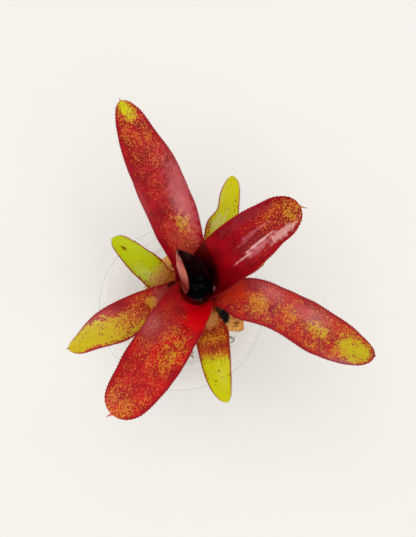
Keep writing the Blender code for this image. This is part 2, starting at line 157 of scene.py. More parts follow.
# what glossy surfaces mirror is the darker upper part of the room
room = bpy.data.worlds.new("room")
room.use_nodes = True
tree = room.node_tree
mirrored = node(tree, "ShaderNodeLightPath").outputs["Is Glossy Ray"]
colour = mix(tree, mirrored, shade(251, 248, 244), shade(92, 90, 88))
fill(tree.nodes["Background"], {"Color": colour, "Strength": ROOM_STRENGTH})
bpy.context.scene.world = room
for name, where, spread, power, lights_faces in LAMPS:
    lamp = bpy.data.lights.new(name, "SUN")
    lamp.angle = radians(spread)
    lamp.energy = power
    light = bpy.data.objects.new(name, lamp)
    light.visible_diffuse = lights_faces
    light.visible_glossy = not lights_faces
    light.rotation_mode = "QUATERNION"
    light.rotation_quaternion = Vector(where).to_track_quat("Z", "Y")
    bpy.context.scene.collection.objects.link(light)


# The leaves: stiff, waxy straps whose sheaths wrap round one another into a cup and open
# into shallow troughs. They grow yellow-green, and red pigment covers them in flecks.
# Each margin carries a row of small forward teeth, and each tip a short spine.
CORK_TOP = 150
BASE_RADIUS = 4.0
BASE_RADIUS_STEP = 1.15
BASE_HEIGHT = 26.4
BASE_HEIGHT_STEP = -2.6
BASE_RISE = 35
SHEATH_POINTS = 60
BLADE_POINTS = 160
THROAT_RADIUS = 11.0
THROAT_RADIUS_STEP = 1.75
BASE_WRAP = 0.9
THROAT_WRAP = 2.3
LEAF_THICKNESS = 0.9
EDGE_THICKNESS = 0.35
MARGIN_THINNING = 0.55
LEAST_HALF_WIDTH = 0.6
OPENING = 0.4
TROUGH = 0.45
SWELL_REACH = 0.11
CHANNEL_DEPTH = 0.35
CHANNEL_WIDTH = 0.1
# the margin runs very slightly uneven, as a grown edge does
RIPPLE_SIZE = 0.35
RIPPLE_PITCH = 0.09
# shares of the spine's length, with its half width there
SPINE_STEPS = ((0.35, 0.5), (0.7, 0.34), (1.0, 0.12))
SPINE_DROOP = 0.35
TOOTH_HEIGHT = 0.6
TEETH_START = 0.04
ROW_PITCH = 1.2
# columns across a leaf, closer together near the margins
COLUMNS = (-1, -0.965, -0.9, -0.8, -0.68, -0.54, -0.39, -0.24, -0.11, 0,
           0.11, 0.24, 0.39, 0.54, 0.68, 0.8, 0.9, 0.965, 1)
noise.seed_set(7)


def smooth_step(amount):
    """A share from 0 to 1 that starts and ends gently."""
    amount = min(max(amount, 0.0), 1.0)
    return amount * amount * (3 - 2 * amount)


def leaf_place(heading, out, side, height):
    """A point outwards and sideways from the axis and above the cork, in millimetres."""
    turn = radians(heading)
    return Vector((out * cos(turn) - side * sin(turn),
                   out * sin(turn) + side * cos(turn), CORK_TOP + height)) * MM


def evenly_spaced(points, pitch):
    """Points along a line, respaced to equal steps, and its length in millimetres."""
    lengths = [0.0]
    for start, end in zip(points, points[1:]):
        lengths.append(lengths[-1] + (end - start).length)
    steps = max(4, round(lengths[-1] / pitch))
    spaced = []
    segment = 0
    for i in range(steps + 1):
        wanted = lengths[-1] * i / steps
        while segment < len(points) - 2 and lengths[segment + 1] < wanted:
            segment += 1
        share = (wanted - lengths[segment]) / (lengths[segment + 1] - lengths[segment])
        spaced.append(points[segment].lerp(points[segment + 1], share))
    return spaced, lengths[-1] / MM


def midrib(leaf, rank):
    """Centre lines of the sheath and of the blade, from the crown to the tip."""
    heading = leaf["heading"]
    base_radius = leaf.get("base_radius", BASE_RADIUS + BASE_RADIUS_STEP * rank)
    base_height = leaf.get("base_height", BASE_HEIGHT + BASE_HEIGHT_STEP * rank)
    throat_radius = leaf.get("throat_radius", THROAT_RADIUS + THROAT_RADIUS_STEP * rank)
    throat_height = leaf["throat_height"]
    base_rise = radians(BASE_RISE)
    throat_rise = radians(leaf["throat_rise"])
    tip_rise = radians(leaf["tip_rise"])
    tip_yaw = radians(leaf["tip_yaw"])
    low = 0.35 * (throat_height - base_height)
    high = 0.3 * (throat_height - base_height)
    chord = hypot(leaf["reach"] - throat_radius, leaf["tip_height"] - throat_height)
    leave = 0.35 * chord
    arrive = 0.4 * chord
    base = leaf_place(heading, base_radius, 0, base_height)
    base_handle = leaf_place(heading, base_radius + low * cos(base_rise), 0,
                             base_height + low * sin(base_rise))
    throat_handle = leaf_place(heading, throat_radius - high * cos(throat_rise), 0,
                               throat_height - high * sin(throat_rise))
    throat = leaf_place(heading, throat_radius, 0, throat_height)
    blade_handle = leaf_place(heading, throat_radius + leave * cos(throat_rise), 0,
                              throat_height + leave * sin(throat_rise))
    tip_handle = leaf_place(heading, leaf["reach"] - arrive * cos(tip_rise) * cos(tip_yaw),
                            leaf["side"] - arrive * cos(tip_rise) * sin(tip_yaw),
                            leaf["tip_height"] - arrive * sin(tip_rise))
    tip = leaf_place(heading, leaf["reach"], leaf["side"], leaf["tip_height"])
    return (interpolate_bezier(base, base_handle, throat_handle, throat, SHEATH_POINTS),
            interpolate_bezier(throat, blade_handle, tip_handle, tip, BLADE_POINTS))


def blade_half_width(leaf, along):
    """Half width at a share of the blade's length: neck, widest part, rounded end."""
    widest = leaf["widest"]
    if along < widest:
        return leaf["half_width"] * (leaf["neck"] + (1 - leaf["neck"]) * smooth_step(along / widest))
    past = min((along - widest) / (1 - widest), 1.0)
    return leaf["half_width"] * sqrt(max(1 - past ** leaf["bluntness"], 0.0))


def swell_at(leaf, along, across):
    """Outward shift of the margin, in millimetres, faded to nothing at the midrib."""
    shift = 0.0
    for side, where, size in leaf.get("swells", ()):
        if side * across > 0:
            shift += size * exp(-(((along - where) / SWELL_REACH) ** 2)) * abs(across)
    return shift


def leaf_rows(leaf, rank):
    """Rows of (point, distance along, distance across, share along, share across)."""
    sheath, blade = midrib(leaf, rank)
    sheath, sheath_length = evenly_spaced(sheath, ROW_PITCH * MM)
    blade, blade_length = evenly_spaced(blade, ROW_PITCH * MM)
    line = sheath + blade[1:]
    opening = leaf.get("opening", OPENING)
    trough = leaf.get("trough", TROUGH)
    turn = radians(leaf["heading"])
    across = Vector((-sin(turn), cos(turn), 0.0))
    travelled = 0.0
    rows = []
    for i, point in enumerate(line):
        if i:
            travelled += (point - line[i - 1]).length / MM
        direction = (line[min(i + 1, len(line) - 1)] - line[max(i - 1, 0)]).normalized()
        across = (across - direction * across.dot(direction)).normalized()
        up = direction.cross(across)
        along = min(max((travelled - sheath_length) / blade_length, 0.0), 1.0)
        funnel = hypot(point.x, point.y) / MM / max(direction.z, 0.3)
        flatten = smooth_step((travelled - 0.85 * sheath_length)
                              / (opening * blade_length + 0.15 * sheath_length))
        narrow = smooth_step((travelled - 0.45 * sheath_length)
                             / (0.12 * blade_length + 0.55 * sheath_length))
        curvature = (1 - flatten) / funnel + flatten * trough / leaf["half_width"]
        climb = min(travelled / sheath_length, 1.0)
        wrap = BASE_WRAP + (THROAT_WRAP - BASE_WRAP) * climb * climb
        sheath_half = min(leaf["sheath"], wrap * funnel)
        half = sheath_half * (1 - narrow) + blade_half_width(leaf, along) * narrow
        half = max(half, LEAST_HALF_WIDTH)
        twist = radians(leaf["twist"]) * smooth_step(along)
        lateral = across * cos(twist) + up * sin(twist)
        inward = up * cos(twist) - across * sin(twist)
        row = []
        for share in COLUMNS:
            swell = swell_at(leaf, along, share) if along > 0 else 0.0
            ripple = RIPPLE_SIZE * noise.noise(Vector((travelled * RIPPLE_PITCH, rank * 3.7, share)))
            ripple = ripple * abs(share) ** 3
            swell += ripple * smooth_step(along * 8) * smooth_step((1 - along) * 12)
            side = 1 if share > 0 else -1
            distance = share * half + side * swell
            angle = distance * curvature
            sink = CHANNEL_DEPTH * exp(-(share / CHANNEL_WIDTH) ** 2) * smooth_step(along * 3)
            sink *= smooth_step((1 - along) * 5)
            spot = (point + lateral * (sin(angle) / curvature * MM)
                    + inward * (((1 - cos(angle)) / curvature - sink) * MM))
            row.append((spot, travelled, distance, (travelled - sheath_length) / blade_length, share))
        rows.append(row)
    spine_direction = (direction - up * SPINE_DROOP + across * leaf.get("hook", 0.0)).normalized()
    for step, half in SPINE_STEPS:
        middle = line[-1] + spine_direction * (leaf["spine"] * step * MM)
        rows.append([(middle + lateral * (share * half * MM), travelled + leaf["spine"] * step,
                      share * half, 1.0 + 0.05 * step, share) for share in COLUMNS])
    return rows


def grow_leaf(leaf, rank, skin, underside):
    """Shape a leaf from a grid, pull out its teeth and give it a thinning edge."""
    rows = leaf_rows(leaf, rank)
    last = len(COLUMNS) - 1
    bm = bmesh.new()
    place = bm.verts.layers.float_vector.new("place")
    weights = bm.verts.layers.deform.verify()
    grain = bm.loops.layers.uv.new("grain")
    grid = bmesh.ops.create_grid(bm, x_segments=len(rows) - 1, y_segments=last, size=1.0)
    table = {}
    flat = {}
    for vert in grid["verts"]:
        i = round((vert.co.x + 1) / 2 * (len(rows) - 1))
        j = round((vert.co.y + 1) / 2 * last)
        table[i, j] = vert
        vert.co, travelled, distance, along, across = rows[i][j]
        vert[place] = (along, across, 0.0)
        vert[weights][0] = 1 - MARGIN_THINNING * abs(across) ** 6
        # the leaf laid flat, in centimetres
        flat[vert] = (travelled * 0.1, distance * 0.1)
    for face in bm.faces:
        for loop in face.loops:
            loop[grain].uv = flat[loop.vert]
    # a tooth on every second row, from just above the sheath to just below the tip
    for i in range(0, len(rows) - 6, 2):
        if rows[i][0][3] > TEETH_START:
            for j, inner in ((0, 1), (last, last - 1)):
                edge = bm.edges.get((table[i, j], table[i + 1, j]))
                start = table[i, j]
                outward = (start.co - table[i, inner].co).normalized()
                lead = (table[i + 1, j].co - start.co).normalized()
                size = TOOTH_HEIGHT * (0.75 + 0.5 * noise.random())
                peak = bmesh.utils.edge_split(edge, start, 0.5)[1]
                peak.co += (outward + lead * 0.5) * size * MM
    bmesh.ops.triangulate(bm, faces=bm.faces)
    piece, mesh = add_piece(bm, leaf["name"] + "_blade")
    mesh.materials.append(skin)
    mesh.materials.append(underside)
    piece.vertex_groups.new(name="body")
    shell = piece.modifiers.new("Thickness", "SOLIDIFY")
    shell.thickness = LEAF_THICKNESS * MM
    shell.offset = -1.0
    shell.vertex_group = "body"
    shell.thickness_vertex_group = EDGE_THICKNESS
    shell.material_offset = 1
    shell.material_offset_rim = 1
    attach(piece, "root")
    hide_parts(leaf["name"])


def calc(tree, operation, *terms, clamp=False):
    """One step of arithmetic on shader values."""
    made = node(tree, "ShaderNodeMath", dict(enumerate(terms)), operation=operation, use_clamp=clamp)
    return made.outputs[0]


def span(tree, value, low, high, start=0.0, end=1.0, clamp=True):
    """A value that runs from low to high, made to run from start to end."""
    sockets = {"Value": value, "From Min": low, "From Max": high, "To Min": start, "To Max": end}
    return node(tree, "ShaderNodeMapRange", sockets, clamp=clamp).outputs[0]


def brighten(tree, colour, factor):
    """A colour made lighter or darker by a factor."""
    return node(tree, "ShaderNodeVectorMath", {0: colour, 3: factor}, operation="SCALE").outputs[0]


def relief(tree, height, strength, distance):
    """The direction of a surface that is bumped by a height."""
    sockets = {"Height": height, "Strength": strength, "Distance": distance}
    return node(tree, "ShaderNodeBump", sockets).outputs["Normal"]


def leaf_shares(tree):
    """A point's share along its leaf in X and across it in Y."""
    place = node(tree, "ShaderNodeAttribute", attribute_name="place").outputs["Vector"]
    return node(tree, "ShaderNodeSeparateXYZ", {0: place}).outputs


def leaf_grain(tree):
    """A point's place on its leaf laid flat, in centimetres."""
    return node(tree, "ShaderNodeUVMap", uv_map="grain").outputs["UV"]


def colours_along(tree, value, stops):
    """A colour that changes with a value, through stops of value and colour."""
    ramp = node(tree, "ShaderNodeValToRGB", {"Fac": value})
    while len(ramp.color_ramp.elements) < len(stops):
        ramp.color_ramp.elements.new(0.5)
    for element, (where, colour) in zip(ramp.color_ramp.elements, stops):
        element.position = where
        element.color = colour
    return ramp.outputs["Color"]


def new_group(name, takes, gives):
    """A node group with named inputs and outputs, each a Float or a Color."""
    group = bpy.data.node_groups.new(name, "ShaderNodeTree")
    for side, sockets in (("INPUT", takes), ("OUTPUT", gives)):
        for socket, kind in sockets.items():
            group.interface.new_socket(socket, in_out=side, socket_type="NodeSocket" + kind)
    return group, node(group, "NodeGroupInput").outputs, node(group, "NodeGroupOutput")


def leaf_pigment():
    """Red pigment over yellow-green tissue, broken into flecks where its density is low."""
    group, given, result = new_group(
        "leaf pigment",
        {"Density": "Float", "Red": "Color", "Deep Red": "Color", "Green": "Color",
         "Orange": "Color", "Rim": "Color", "Seed": "Float"},
        {"Colour": "Color", "Roughness": "Float", "Height": "Float"})
    start = node(group, "ShaderNodeCombineXYZ", {"X": given["Seed"], "Y": given["Seed"]}).outputs[0]
    flat = leaf_grain(group)
    flat = node(group, "ShaderNodeVectorMath", {0: flat, 1: start}, operation="ADD").outputs[0]
    edge = calc(group, "ABSOLUTE", leaf_shares(group)["Y"])
    # the density drifts from place to place and rises at the margins
    density = calc(group, "MULTIPLY_ADD", noise_in(group, flat, 1.3, 3.0), 1.1, -0.55)
    density = calc(group, "ADD", density, given["Density"])
    density = calc(group, "MULTIPLY_ADD", span(group, edge, 0.72, 1.0), 0.4, density)
    # flecks of bare tissue show where the fleck noise is above a threshold that density sets
    fleck = noise_in(group, flat, 6.5, stretch=(0.9, 1.0, 1.0))
    fleck = calc(group, "MULTIPLY_ADD", fleck, 0.75, -0.16)
    fleck = calc(group, "MULTIPLY_ADD", noise_in(group, flat, 12.5), 0.57, fleck)
    threshold = calc(group, "MULTIPLY_ADD", density, 0.33, 0.31)
    bare = calc(group, "SUBTRACT", fleck, threshold)
    bare = calc(group, "MULTIPLY_ADD", bare, 8.0, 0.5, clamp=True)
    bare = calc(group, "MULTIPLY", bare, span(group, given["Density"], 0.3, 0.9, 1.0, 0.7))
    tissue = mix(group, span(group, given["Density"], 0.25, 0.85), given["Green"], given["Orange"])
    cloud = span(group, noise_in(group, flat, 0.9), 0.35, 0.65)
    red = mix(group, cloud, given["Red"], given["Deep Red"])
    fine = noise_in(group, flat, 16.0)
    red = brighten(group, red, span(group, fine, 0.3, 0.7, 0.8, 1.25))
    skin = mix(group, bare, red, tissue)
    # a few brown specks
    cells = node(group, "ShaderNodeTexVoronoi", {"Vector": flat, "Scale": 3.0}).outputs
    chosen = node(group, "ShaderNodeSeparateColor", {0: cells["Color"]}).outputs[0]
    speck = calc(group, "SUBTRACT", span(group, chosen, 0.6, 1.0, 0.0, 0.17), cells["Distance"])
    speck = calc(group, "MULTIPLY", speck, 12.0, clamp=True)
    skin = mix(group, speck, skin, shade(112, 52, 14))
    # fine veins run the length of the leaf
    veins = noise_in(group, flat, 1.6, 3.0, (0.35, 9.0, 1.0))
    skin = brighten(group, skin, span(group, veins, 0.3, 0.7, 0.9, 1.06))
    # the margin is a narrow dark red line
    wander = calc(group, "MULTIPLY_ADD", fleck, 0.1, edge)
    skin = mix(group, span(group, wander, 0.965, 1.01), skin, given["Rim"])
    height = calc(group, "ADD", calc(group, "MULTIPLY", veins, 0.6), calc(group, "MULTIPLY", fine, 0.4))
    fill(result, {"Colour": skin, "Roughness": span(group, fine, 0.3, 0.7, 0.22, 0.34), "Height": height})
    return group


BLOTCH_SOCKETS = ("Along", "Across", "Length", "Width", "Edge", "Ragged")


def blotch_mask():
    """A round patch at one place on a leaf, with its own softness and raggedness of edge."""
    group, given, result = new_group("blotch", dict.fromkeys(BLOTCH_SOCKETS, "Float"),
                                     {"Mask": "Float"})
    place = leaf_shares(group)
    ragged = noise_in(group, leaf_grain(group), 2.4, 4.0)
    ragged = span(group, ragged, 0.3, 0.7, -0.7, 0.7, clamp=False)
    squares = []
    for value, middle, size in (("X", "Along", "Length"), ("Y", "Across", "Width")):
        off = calc(group, "SUBTRACT", place[value], given[middle])
        off = calc(group, "DIVIDE", off, given[size])
        squares.append(calc(group, "MULTIPLY", off, off))
    distance = calc(group, "SQRT", calc(group, "ADD", *squares))
    distance = calc(group, "MULTIPLY_ADD", ragged, given["Ragged"], distance)
    mask = calc(group, "DIVIDE", calc(group, "SUBTRACT", 1.0, distance), given["Edge"])
    fill(result, {"Mask": calc(group, "ADD", mask, 0.5, clamp=True)})
    return group


PIGMENT = leaf_pigment()
BLOTCH = blotch_mask()
BLOTCH_EDGE = 0.8
# covers begin on the sheath, half a blade's length before the throat
COVER_START = -0.5
# colours as seen on a screen
ORANGE = (226, 110, 48)
LIME = (204, 200, 4)
RED_RIM = (150, 12, 28)


def leaf_patch(tree, *measures):
    """The mask of one blotch, with its measures in the order of its sockets."""
    sockets = dict(zip(BLOTCH_SOCKETS, measures))
    return node(tree, "ShaderNodeGroup", sockets, node_tree=BLOTCH).outputs[0]


def leaf_skin(name, cover, blotches=(), red=(176, 14, 24), deep=(140, 8, 20),
              green=LIME, orange=ORANGE, rim=RED_RIM, seed=0.0, stains_and_painted_light=(), shades=(), gloss=1.0):
    """A leaf's upper face: pigment density along the blade, blotches of more or less of it,
    ragged patches, some stains of another colour and some painted sheen, highlight and shade,
    and smooth patches of painted shadow, shade and reflection."""
    material, tree, shader = new_material(name)
    along = span(tree, leaf_shares(tree)["X"], COVER_START, 1.0)
    stops = [((where - COVER_START) / (1.0 - COVER_START), (amount, amount, amount, 1.0))
             for where, amount in cover]
    density = colours_along(tree, along, stops)
    for where, side, length, width, change in blotches:
        patch = leaf_patch(tree, where, side, length, width, BLOTCH_EDGE, BLOTCH_EDGE)
        density = calc(tree, "MULTIPLY_ADD", patch, change, density)
    sockets = {"Density": density, "Red": shade(*red), "Deep Red": shade(*deep),
               "Green": shade(*green), "Orange": shade(*orange), "Rim": shade(*rim), "Seed": seed}
    pigment = node(tree, "ShaderNodeGroup", sockets, node_tree=PIGMENT).outputs
    colour = pigment["Colour"]
    for patches, roughness in ((stains_and_painted_light, 1.0), (shades, 0.0)):
        for where, side, length, width, edge, strength, tint in patches:
            patch = leaf_patch(tree, where, side, length, width, edge, edge * roughness)
            colour = mix(tree, calc(tree, "MULTIPLY", patch, strength), colour, shade(*tint))
    fill(shader, {"Base Color": colour, "Roughness": pigment["Roughness"],
                  "Normal": relief(tree, pigment["Height"], 0.25, 0.0004),
                  "Coat Weight": 0.15 * gloss, "Coat Roughness": 0.25,
                  "Specular IOR Level": 0.5 * gloss})
    return material


def leaf_back(name, shades, band, rim=RED_RIM):
    """A leaf's lower face: its shades along the blade, and silvery scurf in faint bands
    across it."""
    material, tree, shader = new_material(name)
    flat = leaf_grain(tree)
    place = leaf_shares(tree)
    bands = span(tree, noise_in(tree, flat, 1.0, 4.0, (2.4, 0.5, 1.0)), 0.42, 0.62)
    scurf = noise_in(tree, flat, 14.0)
    colour = colours_along(tree, place["X"], [(where, shade(*tint)) for where, tint in shades])
    colour = mix(tree, calc(tree, "MULTIPLY", bands, scurf), colour, shade(*band))
    edge = span(tree, calc(tree, "ABSOLUTE", place["Y"]), 0.95, 0.99)
    fill(shader, {"Base Color": mix(tree, edge, colour, shade(*rim)), "Roughness": 0.55,
                  "Specular IOR Level": 0.1, "Normal": relief(tree, scurf, 0.2, 0.0003)})
    return material


RED_BACK = leaf_back("red_leaf_back", ((0.0, (140, 66, 50)), (1.0, (132, 62, 44))),
                     (196, 160, 140))
GREEN_BACK = leaf_back("green_leaf_back", ((0.0, (150, 120, 62)), (0.6, (140, 150, 50))),
                       (200, 205, 165))


# The youngest leaf, still rolled at the heart of the cup. Its inner face is almost black,
# its dark red deepened into painted shade for the depth of the cup, and its pale pink
# outer face shows where it leans against the older leaves.
grow_leaf(
    dict(name="leaf_young", heading=143, sheath=20, throat_radius=11.1, throat_height=53,
         throat_rise=70, reach=26.5, side=2.5, tip_height=119, tip_rise=60, tip_yaw=-53,
         half_width=17.5, widest=0.3, neck=1.0, bluntness=1.3, twist=56, spine=1.5, trough=1.5,
         opening=0.77),
    0,
    # its own dark red deepened to near black: painted shade of the deep cup
    leaf_skin("young_leaf", cover=((-0.5, 1.3), (1.0, 1.3)), red=(40, 3, 14),
              deep=(24, 2, 10), rim=(48, 4, 16), seed=1.0, gloss=0.3),
    leaf_back("young_leaf_back",
              ((0.35, (100, 4, 8)), (0.56, (124, 14, 16)), (0.68, (176, 86, 78)),
               (0.8, (210, 122, 106)), (0.9, (190, 90, 84)), (0.97, (80, 6, 14))),
              (206, 128, 112), rim=(60, 6, 18)))

# The tallest leaf, standing up to the right over the cup: glossy, almost even crimson,
# with orange flecks gathered in its outer third and a hooked end spine. Its pale streaks
# are painted highlights and sheen, its base is darkened by a painted shadow and painted
# shade down into the cup, and a pink spot by the water is a painted reflection.
grow_leaf(
    dict(name="leaf_back_right", heading=50.5, sheath=20, throat_height=52, throat_rise=78,
         reach=82, side=-21, tip_height=118, tip_rise=28, tip_yaw=-28, half_width=21.5,
         widest=0.2, neck=1.0, bluntness=3.9, twist=-1, spine=5.5, hook=-0.9,
         swells=((1, 0.7, -0.6), (1, 0.92, 1.5), (-1, 0.15, -1.0), (-1, 0.45, 1.3),
                 (-1, 0.75, -1.5))),
    1,
    leaf_skin("crimson_leaf",
              cover=((-0.5, 1.4), (0.42, 1.3), (0.6, 1.0), (0.75, 0.84), (0.9, 0.72), (1.0, 0.66)),
              blotches=((0.7, 0.3, 0.08, 0.25, -0.12), (0.9, 0.1, 0.07, 0.5, -0.1)),
              red=(160, 4, 26), deep=(132, 3, 20), seed=2.0,
              # painted highlights and sheen: a dull sheen near one margin and pale pink streaks
              stains_and_painted_light=((0.64, 0.75, 0.2, 0.2, 0.8, 0.3, (150, 60, 74)),
                      (0.8, -0.62, 0.12, 0.17, 0.7, 0.5, (244, 190, 188)),
                      (0.42, -0.42, 0.1, 0.035, 0.6, 0.6, (240, 170, 170)),
                      (0.58, -0.33, 0.13, 0.04, 0.6, 0.7, (246, 190, 190)),
                      (0.58, -0.46, 0.12, 0.12, 0.9, 0.35, (236, 150, 160)),
                      (0.5, 0.0, 0.08, 0.04, 0.9, 0.25, (226, 130, 140)),
                      (0.62, 0.1, 0.12, 0.05, 0.9, 0.3, (226, 130, 140))),
              # painted shadow cast on the base by the leaf behind, then painted shade down into the cup
              shades=((-0.358, 8.55, 1.0, 10.0, 0.025, 1.0, (84, 0, 4)),
                      (-0.15, 0.3, 0.36, 0.9, 0.5, 0.9, (16, 1, 5)),
                      (0.0, -1.0, 0.3, 0.6, 0.8, 0.55, (50, 0, 4)),
                      (-0.3, 0.0, 0.24, 3.0, 0.2, 0.9, (14, 1, 5)),
                      # painted reflection: a pale pink spot on the wet sheath by the water
                      (-0.02, -0.6, 0.025, 0.1, 0.8, 0.6, (250, 160, 160))), gloss=0.25),
    RED_BACK)

# The widest leaf, hanging down to the front: saturated red near the cup, orange flecks
# thick over the rest, a long crease beside its midrib and a blunt hooked tip. Its sheath
# in the cup is painted a brighter red as painted light against the shade there, one half
# carries a dull pink painted sheen, and the crease is a dark line of painted shade.
grow_leaf(
    dict(name="leaf_front", heading=239, sheath=20, throat_height=46, throat_rise=66,
         reach=120.5, side=-8, tip_height=78, tip_rise=-12, tip_yaw=-11, half_width=21.75,
         widest=0.5, neck=0.95, bluntness=3.1, twist=-1, spine=5, hook=-0.3,
         swells=((1, 0.15, -1.0), (1, 0.35, -1.0), (1, 0.92, 1.5), (-1, 0.78, -1.5))),
    2,
    leaf_skin("front_leaf",
              cover=((-0.5, 1.2), (0.1, 1.05), (0.25, 0.86), (0.42, 0.78), (0.62, 0.8),
                     (0.72, 0.88), (0.85, 0.74), (1.0, 0.62)),
              red=(192, 12, 24), deep=(156, 10, 24), seed=3.0,
              blotches=((0.12, 0.75, 0.2, 0.45, 0.3), (0.42, 0.6, 0.1, 0.3, -0.12),
                        (0.54, 0.3, 0.1, 0.25, -0.16), (0.36, 0.0, 0.08, 0.2, -0.12)),
              # painted light: the sheath in the cup painted brighter red against its shade
              stains_and_painted_light=((-0.08, -0.3, 0.2, 0.8, 0.3, 0.8, (255, 20, 40)),
                      (0.12, 0.6, 0.17, 0.5, 0.5, 0.6, (232, 8, 22)),
                      # painted sheen: a dull pink veil over one half
                      (0.24, -0.65, 0.3, 0.7, 0.4, 0.4, (150, 48, 50)),
                      # painted shade: a dark line standing for the crease
                      (0.66, -0.27, 0.11, 0.03, 0.4, 0.55, (90, 6, 14))), gloss=0.6),
    RED_BACK)

# The longest leaf, reaching back to the left: red with fine orange flecks, a yellow
# blotch near its base and a yellow-green tip with a small point. A pale pink painted
# sheen lies along one side of it.
grow_leaf(
    dict(name="leaf_back_left", heading=110.5, sheath=19, throat_height=42, throat_rise=68,
         reach=151.5, side=12, tip_height=92, tip_rise=-4, tip_yaw=3, half_width=19, widest=0.4,
         neck=0.7, bluntness=2.0, twist=-2, spine=3,
         swells=((1, 0.3, 1.2), (1, 0.52, 1.2), (1, 0.72, 1.1), (-1, 0.25, -0.8),
                 (-1, 0.65, 1.4), (-1, 0.78, -0.8), (-1, 0.92, 1.0))),
    3,
    leaf_skin("back_leaf",
              cover=((-0.5, 1.1), (0.1, 0.88), (0.25, 0.86), (0.45, 0.92), (0.6, 0.86),
                     (0.75, 0.76), (0.9, 0.72), (1.0, 0.5)),
              red=(174, 14, 32), deep=(140, 10, 26), seed=4.0,
              blotches=((0.31, -0.25, 0.05, 0.3, -0.45), (0.2, -0.4, 0.06, 0.4, -0.08),
                        (0.95, -0.1, 0.06, 0.45, -0.38), (0.45, 0.75, 0.3, 0.25, 0.16)),
              # painted sheen along one side
              stains_and_painted_light=((0.42, -0.62, 0.2, 0.35, 0.8, 0.25, (220, 130, 140)),
                      (0.2, -0.1, 0.13, 0.6, 0.8, 0.25, (236, 110, 86))), gloss=0.7),
    RED_BACK)

# The right-hand leaf, arching out and down: orange-red, with yellow patches that join
# into a yellow-green end inside a dark toothed margin. Its sheath is darkened with painted
# shade where it goes down into the cup.
grow_leaf(
    dict(name="leaf_right", heading=355.5, sheath=16, throat_height=37, throat_rise=62,
         reach=145.5, side=-44.5, tip_height=58, tip_rise=-28, tip_yaw=-7, half_width=17.25,
         widest=0.3, neck=0.65, bluntness=3.3, twist=-7, spine=2,
         swells=((1, 0.15, -1.5), (1, 0.54, 1.2), (1, 0.92, -2.0), (-1, 0.17, 4.4),
                 (-1, 0.44, -0.8), (-1, 0.6, 2.5), (-1, 0.75, 2.0), (-1, 0.92, 1.0))),
    4,
    leaf_skin("right_leaf",
              cover=((-0.5, 1.1), (0.0, 1.0), (0.2, 0.87), (0.5, 0.87), (0.72, 0.8), (0.85, 0.6),
                     (0.94, 0.5), (1.0, 0.9)),
              red=(186, 32, 26), deep=(150, 30, 42), green=(198, 180, 14), seed=5.0,
              blotches=((0.28, -0.12, 0.07, 0.45, -0.32), (0.45, 0.0, 0.06, 0.35, -0.28),
                        (0.62, -0.05, 0.07, 0.4, -0.36), (0.85, -0.1, 0.11, 0.6, -0.4),
                        (0.45, -0.9, 0.4, 0.3, -0.15), (0.6, 0.85, 0.3, 0.25, -0.1)),
              stains_and_painted_light=((0.1, 0.1, 0.12, 0.7, 0.6, 0.35, (222, 60, 20)),
                      # painted shade on the sheath down in the cup
                      (-0.25, -0.4, 0.2, 1.5, 0.3, 0.85, (64, 10, 26)))),
    RED_BACK)

# The left-hand leaf: pinkish red at its base with one round yellow blotch, turning
# yellow-green outwards with red drawn in from the margins. A dark painted shade sits in
# the gap under its curled base margin.
grow_leaf(
    dict(name="leaf_left", heading=198.5, sheath=15, throat_height=30, throat_rise=50,
         reach=112.5, side=12.5, tip_height=34, tip_rise=-22, tip_yaw=6, half_width=15.25,
         widest=0.55, neck=0.8, bluntness=1.4, twist=5, spine=2,
         swells=((1, 0.52, 1.5), (1, 0.68, 0.6), (1, 0.75, -1.0), (1, 0.92, 1.0),
                 (-1, 0.8, -0.7), (-1, 0.92, -2.5))),
    5,
    leaf_skin("left_leaf",
              cover=((-0.5, 1.1), (0.12, 0.92), (0.32, 0.7), (0.44, 0.58), (0.56, 0.34),
                     (0.75, 0.16), (1.0, 0.1)),
              red=(172, 36, 40), deep=(150, 26, 34), green=(202, 180, 4), seed=6.0,
              blotches=((0.23, -0.19, 0.05, 0.32, -0.15), (0.52, -0.75, 0.14, 0.4, 0.5),
                        (0.8, 0.95, 0.1, 0.3, 0.4), (0.7, -0.95, 0.1, 0.25, 0.4),
                        (0.35, 0.8, 0.12, 0.3, -0.25)),
              stains_and_painted_light=((0.23, -0.19, 0.045, 0.32, 0.6, 0.65, (224, 166, 52)),
                      (0.12, -0.3, 0.1, 0.5, 0.8, 0.3, (214, 120, 110)),
                      # painted shade in the gap under the curled base margin
                      (-0.01, -0.82, 0.05, 0.22, 0.4, 0.9, (50, 14, 10))), gloss=0.7),
    RED_BACK)

# The older leaves below: shorter, yellow-green, with a thin red toothed margin and red
# flecks where they come out from under the upper ones.
grow_leaf(
    dict(name="leaf_left_small", heading=158, sheath=13, throat_height=13, throat_rise=38,
         reach=80, side=-14.5, tip_height=26, tip_rise=-12, tip_yaw=-11, half_width=13.5,
         widest=0.3, neck=0.85, bluntness=1.5, twist=-3, spine=1.5,
         swells=((1, 0.33, -0.7), (-1, 0.55, -1.0), (-1, 0.92, 1.5))),
    8,
    leaf_skin("left_small_leaf", cover=((-0.5, 0.8), (0.1, 0.55), (0.35, 0.16), (0.6, 0.02), (1.0, 0.06)),
              red=(165, 56, 40), deep=(150, 44, 34), green=(186, 202, 2), seed=7.0,
              rim=(150, 44, 24),
              stains_and_painted_light=((0.14, 0.0, 0.12, 0.9, 0.8, 0.35, (224, 150, 110)),
                      (0.79, 0.06, 0.045, 0.16, 0.4, 0.75, (150, 96, 10)),
                      (0.79, 0.06, 0.025, 0.08, 0.5, 0.8, (96, 40, 12))), gloss=0.6),
    GREEN_BACK)
